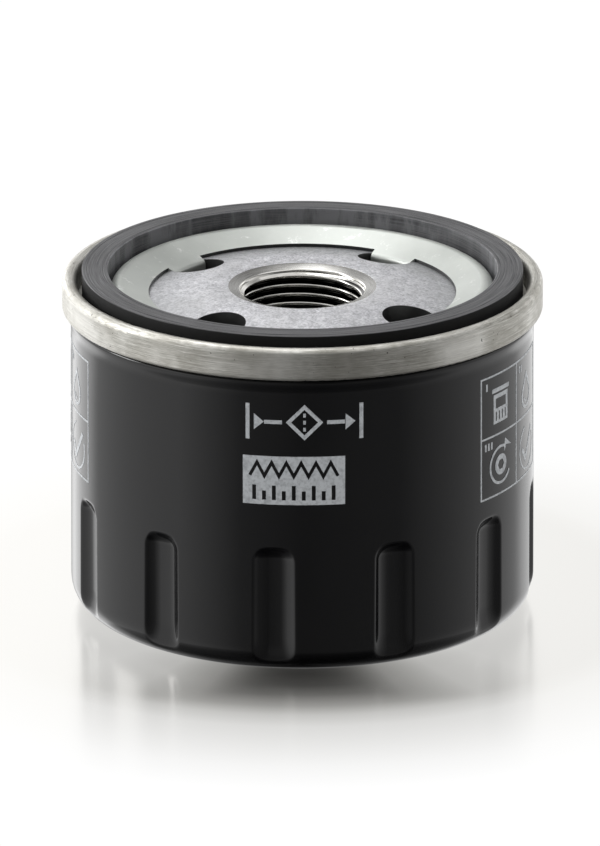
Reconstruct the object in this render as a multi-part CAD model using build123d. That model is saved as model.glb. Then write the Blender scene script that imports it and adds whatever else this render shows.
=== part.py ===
from build123d import *
import math
import os
from build123d.topology import SkipClean

# A spin-on oil filter, standing on the closed end of its can with the threaded end up.
# Frame: +Z up along the filter's axis, origin at the centre of the closed end's rest face.
# All sizes are in millimetres.  A profile point is (radius, height[, corner radius]).

# ---- driving dimensions ---------------------------------------------------------------
HEIGHT = 55.2               # rest face to the gasket's sealing face
RIM_R = 38.0                # outside of the double seam
SHEET = 0.44                # can and lid sheet
CAN_R = 36.85               # can wall near the closed end
CAN_NECK_R = 36.60          # can wall just below the seam
CAN_CORNER_R = 4.5          # outside corner of the closed end
CAN_DOME = 1.7              # how far the closed end's middle is pressed in
DOME_R = 17.5

GASKET_IN_R = 30.75
GASKET_OUT_R = 34.85
GASKET_H = 5.0

SEAM_TOP = 54.0             # crown of the seam
SEAM_BOTTOM = 48.85
SEAM_GAP = 0.03             # air between the five layers of the seam

LID_EDGE_R = 24.3           # the lid's inner edge
LID_EDGE_Z = 51.08          # middle of the sheet at that edge
LID_SHOULDER_R = 30.13      # middle of the groove's inner wall
LID_SHOULDER_Z = 53.5

HOLES = 4                   # oil inlets, each with a lid tab bent into it
HOLE_R = 4.3
HOLE_CIRCLE_R = 21.3
HOLE_AZIMUTH = 52.0
TAB_ARC = 19.0              # degrees of the lid's edge that one tab takes
TAB_R = 23.1                # middle of the tab's hanging part

PLATE_TOP = 52.2
PLATE_T = 2.8
PLATE_FLAT_R = 15.7         # the plate slopes down outside this radius
PLATE_OUT_R = 35.6
PLATE_RIM_TOP = 49.72

THREAD_MINOR_R = 9.19       # M20 x 1.5
THREAD_MAJOR_R = 10.0
THREAD_PITCH = 1.5
COLLAR_R = 12.3
COLLAR_ROOT_R = 13.4
COLLAR_STEP = 44.0          # shoulder that clamps the anti-drain valve
COLLAR_BOTTOM = 39.3
BORE_TOP = 50.87

CAP_SHEET = 0.4             # end caps, centre tube and valve cage
CAP_R = 31.4                # middle of the end caps' flanges
UPPER_CAP_TOP = 42.4
LOWER_CAP_BOTTOM = 9.0
CAP_FLANGE = 3.0

PLEATS = 42
PLEAT_IN_R = 14.7
PLEAT_OUT_R = 30.6
PAPER = 0.5
GLUE = 1.8                  # depth of adhesive in each end cap
PLEAT_SUNK = 1.0            # how far the paper stands in the adhesive

TUBE_R = 13.55              # inside of the centre tube
TUBE_ROWS = 5
TUBE_COLUMNS = 10
TUBE_HOLE_R = 1.6

FLUTES = 12                 # recesses for a cap wrench
FLUTE_AZIMUTH = -97.0
FLUTE_HALF_W = 3.3
FLUTE_DEPTH = 1.3
FLUTE_TOP = 20.8

VALVE_LIFT = 3.0            # travel of the bypass valve
LIP_LIFT = 1.2              # travel of the anti-drain lip
CLOSE = 0.04                # gap between pieces that rest on each other

os.makedirs("parts", exist_ok=True)


# ---- helpers ----------------------------------------------------------------------------
def section(*corners):
    """A flat face in the XZ plane from (radius, height[, corner radius]) points."""
    face = make_face(Polyline(*[(c[0], c[1]) for c in corners], close=True))
    for corner in (c for c in corners if len(c) == 3):
        vertex = face.vertices().sort_by_distance((corner[0], corner[1], 0))[0]
        face = fillet(vertex, corner[2])
    return Plane.XZ * face


def ring(*corners):
    """A turned solid about Z."""
    return revolve(section(*corners), axis=Axis.Z)


def sheet_section(points, radii, thickness):
    """The face of a pressed sheet whose middle follows the points."""
    path = FilletPolyline(*points, radius=radii)
    return Plane.XZ * make_face(offset(path, amount=thickness / 2, side=Side.BOTH))


def pressed(points, radii, thickness):
    """A turned sheet whose middle follows the points, with rounded edges."""
    return revolve(sheet_section(points, radii, thickness), axis=Axis.Z)


def around(shape, count, first=0.0):
    """Copies of a shape, evenly spaced about Z."""
    return [Rot(0, 0, first + 360 / count * i) * shape for i in range(count)]


def disc(radius, low, high):
    """A plain round bar about Z between two heights."""
    return Pos(0, 0, (low + high) / 2) * Cylinder(radius, high - low)


def tube(inner, outer, low, high):
    return disc(outer, low, high) - disc(inner, low - 1, high + 1)


def coil(radius, wire_r, low, high, turns):
    """A round-wire compression spring about Z."""
    path = Helix(pitch=(high - low) / turns, height=high - low, radius=radius, center=(0, 0, low))
    start = Plane(origin=path @ 0, z_dir=path % 0)
    return sweep(start * Circle(wire_r), path=path, is_frenet=True)


def save(name, shape):
    shape = shape if isinstance(shape, Compound) else Compound(shape.solids())
    shape.label = name
    export_step(shape, f"parts/{name}.step")


# ---- outer shell --------------------------------------------------------------------------
def flute_cutter(grow=0.0):
    """A round-nosed bar that presses one flute; grow makes it the flute's inner face."""
    chord_depth = FLUTE_DEPTH - FLUTE_HALF_W**2 / (2 * CAN_R)
    nose_r = (FLUTE_HALF_W**2 + chord_depth**2) / (2 * chord_depth)
    centre = CAN_R - FLUTE_DEPTH + nose_r
    top = FLUTE_TOP - FLUTE_HALF_W
    bar = disc(nose_r + grow, -2, top) + Pos(0, 0, top) * Sphere(nose_r + grow)
    return Pos(centre, 0, 0) * bar


def can_body(inset):
    """The can as a full body, drawn in by inset from its outer surface."""
    slope_r = DOME_R + 2 * CAN_DOME
    return ring(
        (0, CAN_DOME + inset),
        (DOME_R, CAN_DOME + inset, 2.0),
        (slope_r, inset, 2.0),
        (CAN_R - inset, inset, CAN_CORNER_R - inset),
        (CAN_R - inset, 6.0 + inset),
        (CAN_NECK_R - inset, 44.0),
        (CAN_NECK_R - inset, 52.5),
        (0, 52.5),
    )


def housing_can():
    """Deep-drawn can: fluted wall, closed end and the flange that is folded into the seam."""
    outer = can_body(0.0) - around(flute_cutter(), FLUTES, FLUTE_AZIMUTH)
    inner = can_body(SHEET) - around(flute_cutter(SHEET), FLUTES, FLUTE_AZIMUTH)
    wall = CAN_NECK_R - SHEET / 2
    hook = wall + 2 * (SHEET + SEAM_GAP)
    bend = (hook - wall) / 2 - 0.01
    flange = pressed(
        [(wall, 51.0), (wall, 53.0), (hook, 53.0), (hook, 50.0)], [bend, bend], SHEET
    )
    top = disc(CAN_R, 52.0, 53.0)
    return outer - inner - top + flange


def lid_slope(radius):
    """Height of the middle of the lid's sheet on its sloping inner ring."""
    rise = (LID_SHOULDER_Z - LID_EDGE_Z) / (LID_SHOULDER_R - LID_EDGE_R)
    return LID_EDGE_Z + rise * (radius - LID_EDGE_R)


def seaming_lid():
    """Lid sheet: sloping ring with tabs, gasket groove, and the outside of the double seam."""
    half = SHEET / 2
    floor = HEIGHT - GASKET_H - half
    chuck = CAN_NECK_R - SHEET - SEAM_GAP - half
    panel = RIM_R - half
    hook = CAN_NECK_R + SEAM_GAP + half
    crown = SEAM_TOP - half
    bottom = SEAM_BOTTOM + half
    lid = pressed(
        [
            (LID_EDGE_R - 1, lid_slope(LID_EDGE_R - 1)),
            (LID_SHOULDER_R, LID_SHOULDER_Z),
            (LID_SHOULDER_R, floor),
            (chuck, floor),
            (chuck, crown),
            (panel, crown),
            (panel, bottom),
            (hook, bottom),
            (hook, 51.8),
        ],
        [1.3, 0.45, 0.45, 0.93, 0.93, 0.46, 0.46],
        SHEET,
    )
    lid = lid - disc(LID_EDGE_R, 40, 60)
    tab_face = sheet_section(
        [(LID_EDGE_R + 0.6, lid_slope(LID_EDGE_R + 0.6)), (TAB_R, lid_slope(TAB_R)), (TAB_R, 48.6)],
        [0.7],
        SHEET,
    )
    tab = Rot(0, 0, -TAB_ARC / 2) * revolve(tab_face, axis=Axis.Z, revolution_arc=TAB_ARC)
    return lid + around(tab, HOLES, HOLE_AZIMUTH)


def sealing_gasket():
    low = HEIGHT - GASKET_H
    return ring(
        (GASKET_IN_R, low, 0.25),
        (GASKET_OUT_R, low, 0.25),
        (GASKET_OUT_R, HEIGHT, 0.25),
        (GASKET_IN_R, HEIGHT, 0.25),
    )


def seam_compound(lid, can):
    """Sealing compound that fills the crown of the seam between the lid and the can's flange."""
    return tube(36.45, 37.25, 52.95, 53.7) - lid - can


# ---- threaded plate -------------------------------------------------------------------------
def thread_groove():
    """The helical groove of the internal thread, a little short of the bore's bottom end."""
    over = 0.15
    root = THREAD_PITCH / 16
    start_r = THREAD_MINOR_R - over
    mouth = root + (THREAD_MAJOR_R - start_r) * math.tan(math.radians(30))
    face = make_face(
        Polyline(
            (start_r, -mouth), (THREAD_MAJOR_R, -root), (THREAD_MAJOR_R, root), (start_r, mouth), close=True
        )
    )
    one_turn = Helix(pitch=THREAD_PITCH, height=THREAD_PITCH, radius=start_r)
    turn = Rot(0, 0, 13) * sweep(Plane.XZ * face, path=one_turn, is_frenet=True)
    low = 42.0
    turns = round((BORE_TOP + 0.4 - low) / THREAD_PITCH)
    return [Pos(0, 0, low + THREAD_PITCH * i) * turn for i in range(turns)]


def threaded_plate():
    """Thick base plate: dished, with the extruded and threaded collar and the oil inlets."""
    under = PLATE_TOP - PLATE_T
    rim_under = PLATE_RIM_TOP - PLATE_T
    profile = section(
        (THREAD_MINOR_R, COLLAR_BOTTOM + 0.7),
        (THREAD_MINOR_R + 0.6, COLLAR_BOTTOM),
        (COLLAR_R, COLLAR_BOTTOM, 0.4),
        (COLLAR_R, COLLAR_STEP),
        (COLLAR_ROOT_R, COLLAR_STEP),
        (COLLAR_ROOT_R, under - 0.1, 1.2),
        (PLATE_FLAT_R, under, 2.0),
        (LID_EDGE_R, under - 1.42),
        (26.8, rim_under, 1.0),
        (PLATE_OUT_R, rim_under, 0.4),
        (PLATE_OUT_R, PLATE_RIM_TOP, 0.4),
        (28.0, PLATE_RIM_TOP, 1.0),
        (25.2, PLATE_TOP - 1.58, 1.0),
        (PLATE_FLAT_R, PLATE_TOP, 8.0),
        (11.8, PLATE_TOP, 2.0),
        (9.9, PLATE_TOP - 0.58, 0.4),
        (9.74, PLATE_TOP - 1.0),
        (THREAD_MINOR_R, BORE_TOP),
    )
    quarter = revolve(profile, axis=Axis.Z, revolution_arc=90)
    inlet = Pos(HOLE_CIRCLE_R, 0, 0) * disc(HOLE_R, 44, 56)
    with SkipClean():       # keeps the bore's wall as quarter faces, so that each land stays short
        plate = Part() + around(quarter, 4)
        plate = plate - around(inlet, HOLES, HOLE_AZIMUTH)
        for turn in thread_groove():
            plate = plate - turn
    return plate


# ---- anti-drain valve ---------------------------------------------------------------------
LIP_R = 27.3                # where the membrane's web meets its lip
HUB_LOW = UPPER_CAP_TOP + CLOSE / 2
HUB_HIGH = COLLAR_STEP - CLOSE


def antidrain_membrane():
    """Rubber hub around the collar with the thin conical web that carries the lip."""
    return ring(
        (COLLAR_R + CLOSE, HUB_LOW),
        (15.2, HUB_LOW, 0.3),
        (16.0, HUB_LOW + 0.5, 0.5),
        (LIP_R, 45.6),
        (LIP_R, 46.5),
        (15.8, HUB_HIGH, 0.5),
        (COLLAR_R + CLOSE, HUB_HIGH),
    )


def antidrain_lip():
    """The membrane's outer lip, which seals on the plate outside the oil inlets."""
    seal = PLATE_RIM_TOP - PLATE_T - CLOSE / 2
    return ring(
        (LIP_R + CLOSE, 45.5),
        (LIP_R + 1.6, 45.5, 0.4),
        (LIP_R + 1.6, seal - 0.5, 0.3),
        (LIP_R + 1.1, seal),
        (LIP_R + 0.6, seal),
        (LIP_R + CLOSE, 46.5),
    )


# ---- filter element -----------------------------------------------------------------------
def upper_end_cap():
    mid = UPPER_CAP_TOP - CAP_SHEET / 2
    neck = COLLAR_R + 0.55
    return pressed(
        [(neck, mid - 2.6), (neck, mid), (CAP_R, mid), (CAP_R, mid - CAP_FLANGE)],
        [0.6, 0.6],
        CAP_SHEET,
    )


VALVE_PORT_R = 8.0          # hole in the lower end cap that the bypass valve shuts


def lower_end_cap():
    mid = LOWER_CAP_BOTTOM + CAP_SHEET / 2
    edge = VALVE_PORT_R + CAP_SHEET / 2
    return pressed([(edge, mid), (CAP_R, mid), (CAP_R, mid + CAP_FLANGE)], [0.6], CAP_SHEET)


UPPER_INSIDE = UPPER_CAP_TOP - CAP_SHEET
LOWER_INSIDE = LOWER_CAP_BOTTOM + CAP_SHEET
PAPER_LOW = LOWER_INSIDE + GLUE - PLEAT_SUNK
PAPER_HIGH = UPPER_INSIDE - GLUE + PLEAT_SUNK


def pleat_points(grow):
    """The closed zigzag of the pleats in plan; grow moves the tips and valleys outward."""
    half_turn = math.pi / PLEATS
    points = []
    for i in range(2 * PLEATS):
        radius = (PLEAT_OUT_R if i % 2 == 0 else PLEAT_IN_R) + grow
        points.append((radius * math.cos(half_turn * i), radius * math.sin(half_turn * i)))
    return points


def pleated_media():
    """Folded filter paper, one closed zigzag wall."""
    middle = make_face(Polyline(*pleat_points(0.0), close=True))
    wall = offset(middle, amount=PAPER / 2) - offset(middle, amount=-PAPER / 2)
    return Pos(0, 0, PAPER_LOW) * extrude(wall, amount=PAPER_HIGH - PAPER_LOW)


def pleat_seam_clip():
    """Folded metal strip that joins the two ends of the paper at one pleat."""
    tip, left, right = pleat_points(0.0)[0], pleat_points(0.0)[1], pleat_points(0.0)[-1]
    fold = make_face(Polyline(left, tip, right, close=True))
    strip = offset(fold, amount=PAPER / 2 + 0.35) - offset(fold, amount=PAPER / 2 + 0.05)
    strip = strip & Pos(30, 0) * Rectangle(10, 10)
    low, high = LOWER_CAP_BOTTOM + 4, UPPER_CAP_TOP - 4
    return Pos(0, 0, low) * extrude(strip, amount=high - low)


def adhesive(low, media):
    """Ring of adhesive that bonds the paper into an end cap."""
    inner = TUBE_R + CAP_SHEET + 0.05
    outer = CAP_R - CAP_SHEET / 2 - 0.05
    high = low + GLUE
    body = ring((inner, low), (outer, low, 0.5), (outer, high, 0.5), (inner, high))
    return body - media


def centre_tube():
    """Perforated tube that holds the paper against the oil's pressure."""
    wall = tube(TUBE_R, TUBE_R + CAP_SHEET, LOWER_INSIDE, UPPER_INSIDE)
    hole = Pos(TUBE_R, 0, 0) * Rot(0, 90, 0) * Cylinder(TUBE_HOLE_R, 4)
    spacing = (UPPER_INSIDE - LOWER_INSIDE - 6) / TUBE_ROWS
    for row in range(TUBE_ROWS):
        height = LOWER_INSIDE + 3 + spacing * (row + 0.5)
        first = 180 / TUBE_COLUMNS * (row % 2)
        wall = wall - [Pos(0, 0, height) * h for h in around(hole, TUBE_COLUMNS, first)]
    return wall


# ---- bypass valve ---------------------------------------------------------------------------
SEAT_TOP = LOWER_INSIDE + 1.1
VALVE_DISC_T = 0.7
CAGE_TOP = 24.2
STEM_R = 1.5


def bypass_seat():
    """Rubber ring around the port, with the bead that the valve disc shuts on."""
    return ring(
        (VALVE_PORT_R + 0.1, LOWER_INSIDE),
        (10.4, LOWER_INSIDE),
        (10.4, SEAT_TOP - 0.5, 0.2),
        (9.6, SEAT_TOP - 0.3),
        (9.1, SEAT_TOP),
        (8.6, SEAT_TOP),
        (VALVE_PORT_R + 0.1, SEAT_TOP - 0.4),
    )


def bypass_disc():
    """Valve disc with a raised ring that keeps the spring central."""
    low = SEAT_TOP + CLOSE / 2
    top = low + VALVE_DISC_T
    return ring(
        (STEM_R, low), (9.9, low, 0.2), (9.9, top, 0.2), (5.8, top), (5.4, top + 0.5), (STEM_R, top + 0.5)
    )


def bypass_stem():
    """Guide pin riveted through the disc."""
    low = SEAT_TOP + CLOSE / 2
    return ring((0, low - 0.6), (2.6, low - 0.6, 0.3), (2.6, low), (STEM_R, low), (STEM_R, 27.0, 0.4), (0, 27.0))


def bypass_cage():
    """Windowed cup that guides the stem and holds the spring."""
    half = CAP_SHEET / 2
    wall_r = 11.6
    cage = pressed(
        [
            (TUBE_R - 0.05 - half, LOWER_INSIDE + half),
            (wall_r, LOWER_INSIDE + half),
            (wall_r, CAGE_TOP - half),
            (STEM_R + 0.2 + half, CAGE_TOP - half),
        ],
        [0.5, 1.0],
        CAP_SHEET,
    )
    window = Pos(wall_r, 0, 16) * Box(4, 9, 9)
    return cage - around(window, 4, 45)


def bypass_spring():
    wire_r = 0.5
    low = SEAT_TOP + CLOSE / 2 + VALVE_DISC_T + wire_r + 0.02
    return coil(6.6, wire_r, low, CAGE_TOP - CAP_SHEET - wire_r - 0.02, 5.5)


# ---- support spring -------------------------------------------------------------------------
def support_spring():
    """Four-legged leaf spring between the closed end and the filter element."""
    strip = 0.8
    mid = LOWER_CAP_BOTTOM - CLOSE / 2 - strip / 2
    foot = SHEET + CLOSE / 2 + strip / 2
    side = sheet_section([(15, mid), (19.5, mid), (25.5, foot), (29.5, foot)], [2.0, 2.0], strip)
    leg = extrude(side, amount=3.5, both=True)
    return tube(12, 19, mid - strip / 2, mid + strip / 2) + around(leg, 4, 8)


# ---- build and write --------------------------------------------------------------------------
def main():
    can = housing_can()
    lid = seaming_lid()
    media = pleated_media()
    save("housing_can", can)
    save("seaming_lid", lid)
    save("sealing_gasket", sealing_gasket())
    save("seam_compound", seam_compound(lid, can))
    save("threaded_plate", threaded_plate())
    save("antidrain_membrane", antidrain_membrane())
    save("antidrain_lip", antidrain_lip())
    save("upper_end_cap", upper_end_cap())
    save("lower_end_cap", lower_end_cap())
    save("pleated_media", media)
    save("pleat_seam_clip", pleat_seam_clip())
    save("upper_adhesive", adhesive(UPPER_INSIDE - GLUE, media))
    save("lower_adhesive", adhesive(LOWER_INSIDE, media))
    save("centre_tube", centre_tube())
    save("bypass_seat", bypass_seat())
    save("bypass_disc", bypass_disc())
    save("bypass_stem", bypass_stem())
    save("bypass_cage", bypass_cage())
    save("bypass_spring", bypass_spring())
    save("support_spring", support_spring())


main()
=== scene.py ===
import math

import bmesh
import bpy
import numpy as np
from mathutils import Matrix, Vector


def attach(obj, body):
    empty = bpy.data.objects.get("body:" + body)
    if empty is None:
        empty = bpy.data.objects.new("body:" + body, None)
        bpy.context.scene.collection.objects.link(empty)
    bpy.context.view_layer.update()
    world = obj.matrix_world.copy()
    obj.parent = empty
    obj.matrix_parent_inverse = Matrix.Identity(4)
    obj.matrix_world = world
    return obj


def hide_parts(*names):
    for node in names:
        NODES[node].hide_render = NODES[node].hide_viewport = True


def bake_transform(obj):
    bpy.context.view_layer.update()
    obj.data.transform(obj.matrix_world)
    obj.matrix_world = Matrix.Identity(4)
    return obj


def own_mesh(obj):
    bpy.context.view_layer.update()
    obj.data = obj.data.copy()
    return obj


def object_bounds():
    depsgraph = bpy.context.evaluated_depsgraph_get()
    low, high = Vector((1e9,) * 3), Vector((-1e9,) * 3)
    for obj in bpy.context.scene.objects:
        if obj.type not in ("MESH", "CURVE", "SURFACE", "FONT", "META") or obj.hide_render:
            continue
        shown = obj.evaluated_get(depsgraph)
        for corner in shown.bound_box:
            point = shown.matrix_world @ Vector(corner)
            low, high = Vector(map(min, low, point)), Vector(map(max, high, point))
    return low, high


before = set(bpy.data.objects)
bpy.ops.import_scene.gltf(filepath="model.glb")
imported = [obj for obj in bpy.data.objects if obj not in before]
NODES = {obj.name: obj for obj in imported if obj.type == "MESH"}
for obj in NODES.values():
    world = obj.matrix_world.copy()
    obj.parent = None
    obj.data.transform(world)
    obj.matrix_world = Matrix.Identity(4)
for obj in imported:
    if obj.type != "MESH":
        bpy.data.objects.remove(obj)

# A spin-on oil filter on a pale floor.  Profile points are (radius, height[, corner radius]) in
# millimetres from the centre of the closed end, and meshes are scaled to metres as they are made.

MM = 0.001
cad_low, cad_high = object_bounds()

CAN_R = 36.85               # can wall near the closed end
CAN_NECK_R = 36.60          # can wall below the seam
CAN_SHEET = 0.44
WALL_LOW = 6.0              # the straight wall runs between these heights
WALL_HIGH = 46.3
CAN_CORNER_R = 4.5
CAN_DOME = 1.7
DOME_R = 17.5               # the closed end is pressed in by CAN_DOME inside this radius

FLUTES = 12
FLUTE_AZIMUTH = -97.0
FLUTE_HALF_W = 3.3
FLUTE_DEPTH = 1.3
FLUTE_TOP = 21.2
FLUTE_EDGE = 0.27           # softness of the pressed edges
FLUTE_SIDE = 2.5            # width of a flute's curved side
FLUTE_END_R = 2.6           # corner radius of a flute's top end
FLUTE_SHALLOW = 0.45        # share of the depth left where a flute runs into the closed end
POINTS_PER_FLUTE = 44       # points round the can from one flute to the next

HEIGHT = cad_high.z / MM

LID_EDGE_R = 24.3           # cut edge of the lid's middle opening
LID_COATED_R = 33.0         # the coating ends under the gasket
LID_WORN_LINE = 51.35       # height of the rubbed line round the seam

GASKET_IN_R = 30.75
GASKET_OUT_R = 34.85
GASKET_H = 5.0

HOLES = 4                   # oil inlets
HOLE_R = 4.3
HOLE_CIRCLE_R = 21.3
HOLE_AZIMUTH = 52.0

PLATE_TOP = 52.2
PLATE_T = 2.8
PLATE_FLAT_R = 15.7
PLATE_OUT_R = 35.6
PLATE_RIM_TOP = 49.72
THREAD_MINOR_R = 9.19       # M20 x 1.5
THREAD_MAJOR_R = 10.0
THREAD_PITCH = 1.5
COLLAR_R = 12.3
COLLAR_ROOT_R = 13.4
COLLAR_STEP = 44.0
COLLAR_BOTTOM = 39.3
BORE_TOP = 50.87
BORE_BOTTOM = 40.0          # the collar's lower edge is bevelled below this
THREAD_END = 41.0           # the groove has run out here
FUNNEL_R = 11.7             # the plate is smooth where its collar was formed
BARE_R = 10.05              # the thread was cut through the zinc
INLET_CUT_LOW = 44.0        # the inlets are cut between these heights
INLET_CUT_HIGH = 56.0

INK_T = 0.03                # how far a printed mark stands on the paint


# ---- mesh helpers -------------------------------------------------------------------------
def mesh_object(name, points, faces, smooth=True):
    """A mesh object from points in millimetres."""
    mesh = bpy.data.meshes.new(name)
    mesh.from_pydata((np.asarray(points, float) * MM).tolist(), [], faces)
    mesh.validate()
    if smooth:
        mesh.shade_smooth()
    made = bpy.data.objects.new(name, mesh)
    bpy.context.scene.collection.objects.link(made)
    return made


def rounded(corners, segments=8):
    """Points along straight runs whose corners with a third value are arcs of that radius.

    A right angle of more than 1 mm radius gets that many segments, and smaller bends fewer.
    """
    points = [np.array(corners[0][:2], float)]
    for before, corner, after in zip(corners, corners[1:], corners[2:]):
        here = np.array(corner[:2], float)
        if len(corner) < 3:
            points.append(here)
            continue
        back = np.array(before[:2], float) - here
        ahead = np.array(after[:2], float) - here
        back /= np.linalg.norm(back)
        ahead /= np.linalg.norm(ahead)
        half = math.acos(np.clip(back @ ahead, -1, 1)) / 2
        start = here + back * corner[2] / math.tan(half)
        end = here + ahead * corner[2] / math.tan(half)
        middle = (back + ahead) / np.linalg.norm(back + ahead)
        centre = here + middle * corner[2] / math.sin(half)
        turn_start = start - centre
        turn_end = end - centre
        sweep = math.pi - 2 * half
        fineness = 1 if corner[2] > 1 else 0.6
        count = max(2, math.ceil(segments * sweep / (math.pi / 2) * fineness))
        spread = math.sin(sweep)
        for i in range(count + 1):
            share = i / count
            toward_start = math.sin((1 - share) * sweep) * turn_start
            toward_end = math.sin(share * sweep) * turn_end
            points.append(centre + (toward_start + toward_end) / spread)
    points.append(np.array(corners[-1][:2], float))
    return np.array(points)


def divided(points, longest):
    """The same path with no run longer than longest(middle height of the run)."""
    made = [points[0]]
    for a, b in zip(points, points[1:]):
        length = float(np.linalg.norm(b - a))
        parts = max(1, math.ceil(length / longest((a[1] + b[1]) / 2) - 1e-6))
        made += [a + (b - a) * i / parts for i in range(1, parts + 1)]
    return np.array(made)


def lathe(name, path, angles, shape=None, closed=False):
    """A turned surface; shape(radius, height, angle) may move its points."""
    angles = np.asarray(angles, float)
    rows, columns = len(path), len(angles)
    radius = np.repeat(path[:, 0][:, None], columns, axis=1)
    height = np.repeat(path[:, 1][:, None], columns, axis=1)
    angle = np.repeat(angles[None, :], rows, axis=0)
    if shape:
        radius, height = shape(radius, height, angle)
    points = np.stack([radius * np.cos(angle), radius * np.sin(angle), height], axis=-1).reshape(-1, 3)
    faces = []
    for i in range(rows if closed else rows - 1):
        low, high = i * columns, (i + 1) % rows * columns
        for j in range(columns):
            k = (j + 1) % columns
            faces.append((low + j, low + k, high + k, high + j))
    return mesh_object(name, points, faces)


def weld_axis(piece):
    """Joins the points of a turned surface that meet on its axis."""
    shape = bmesh.new()
    shape.from_mesh(piece.data)
    bmesh.ops.remove_doubles(shape, verts=shape.verts, dist=1e-7)
    shape.to_mesh(piece.data)
    shape.free()


def even_angles(count):
    """That many angles spread evenly round the axis."""
    return np.arange(count) * 2 * math.pi / count


# ---- node helpers ---------------------------------------------------------------------------
def material(name):
    """A new node material with its tree and its shader."""
    made = bpy.data.materials.new(name)
    made.use_nodes = True
    return made, made.node_tree, made.node_tree.nodes["Principled BSDF"]


def node(tree, kind, inputs=None, **settings):
    """A shader node; an input is a value or the socket that feeds it."""
    made = tree.nodes.new("ShaderNode" + kind)
    for key, value in settings.items():
        setattr(made, key, value)
    for key, value in (inputs or {}).items():
        if isinstance(value, bpy.types.NodeSocket):
            tree.links.new(value, made.inputs[key])
        else:
            made.inputs[key].default_value = value
    return made


def calc(tree, operation, first, second=0.0):
    """The result of a Math node."""
    return node(tree, "Math", {0: first, 1: second}, operation=operation).outputs[0]


def rise(tree, value, start, end):
    """0 below start and 1 above end, straight between them; start may be the larger."""
    return node(tree, "MapRange", {"Value": value, "From Min": start, "From Max": end}).outputs["Result"]


def ramp(tree, factor, *stops):
    """A colour ramp from (position, grey or colour) stops."""
    made = node(tree, "ValToRGB", {"Fac": factor})
    band = made.color_ramp
    while len(band.elements) < len(stops):
        band.elements.new(1.0)
    for element, (position, colour) in zip(band.elements, stops):
        element.position = position
        if not isinstance(colour, tuple):
            colour = (colour, colour, colour)
        element.color = (*colour, 1.0)
    return made.outputs["Color"]


def noise(tree, place, scale, detail=4.0, roughness=0.5):
    """A noise texture's strength at a place."""
    inputs = {"Vector": place, "Scale": scale, "Detail": detail, "Roughness": roughness}
    return node(tree, "TexNoise", inputs).outputs["Fac"]


def mixed(tree, factor, first, second):
    """The first colour at factor 0, the second at 1."""
    made = node(tree, "Mix", {"Factor": factor}, data_type="RGBA")
    for key, value in ((6, first), (7, second)):
        if isinstance(value, bpy.types.NodeSocket):
            tree.links.new(value, made.inputs[key])
        else:
            made.inputs[key].default_value = (*value, 1.0)
    return made.outputs[2]


def bump(tree, height, distance, strength=1.0):
    """A normal that follows a height pattern; the distance is in metres."""
    inputs = {"Height": height, "Distance": distance, "Strength": strength}
    return node(tree, "Bump", inputs).outputs["Normal"]


def object_place(tree):
    """A point's place on the object."""
    return node(tree, "TexCoord").outputs["Object"]


def axis_place(tree):
    """A point's place, with its direction from the axis, its radius and its height."""
    place = object_place(tree)
    axes = node(tree, "SeparateXYZ", {0: place}).outputs
    flat = node(tree, "CombineXYZ", {0: axes[0], 1: axes[1]}).outputs[0]
    facing = node(tree, "VectorMath", {0: flat}, operation="NORMALIZE").outputs["Vector"]
    radius = node(tree, "VectorMath", {0: flat}, operation="LENGTH").outputs["Value"]
    return place, facing, radius, axes[2]


def turned_place(tree, along, across):
    """A vector that changes slowly round the axis and quickly with height and radius."""
    _, facing, radius, height = axis_place(tree)
    turn = node(tree, "VectorMath", {0: facing, "Scale": along}, operation="SCALE").outputs["Vector"]
    level = calc(tree, "MULTIPLY", calc(tree, "ADD", height, radius), across)
    lift = node(tree, "CombineXYZ", {2: level}).outputs[0]
    return node(tree, "VectorMath", {0: turn, 1: lift}, operation="ADD").outputs["Vector"]


def upward(tree):
    """How far a surface faces up, from -1 to 1."""
    return node(tree, "SeparateXYZ", {0: node(tree, "NewGeometry").outputs["Normal"]}).outputs[2]


def set_shader(shader, **values):
    """Sets the shader's own sockets; an underscore stands for a space."""
    for key, value in values.items():
        shader.inputs[key.replace("_", " ")].default_value = value


# ---- materials --------------------------------------------------------------------------------
def black_paint():
    """Glossy black paint with faint orange peel, smears and dust."""
    made, tree, shader = material("black_paint")
    place = object_place(tree)
    mottle = noise(tree, place, 90, 3)
    peel = noise(tree, place, 650, 2)
    dust = noise(tree, place, 5200, 3, 0.7)
    colour = ramp(tree, mottle, (0.3, (0.0016, 0.0016, 0.0020)), (0.7, (0.0028, 0.0027, 0.0031)))
    tree.links.new(colour, shader.inputs["Base Color"])
    smear = calc(tree, "MULTIPLY", mottle, 0.05)
    speck = calc(tree, "MULTIPLY", dust, 0.04)
    gloss = calc(tree, "ADD", calc(tree, "ADD", smear, speck), 0.07)
    tree.links.new(gloss, shader.inputs["Roughness"])
    tree.links.new(bump(tree, peel, 0.004 * MM), shader.inputs["Normal"])
    set_shader(shader, IOR=1.5)
    return made


def scratch_share(tree, place):
    """Uneven patches, for marks that come and go round a ring."""
    return ramp(tree, noise(tree, place, 85, 3, 0.6), (0.42, 0.0), (0.62, 1.0))


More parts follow.
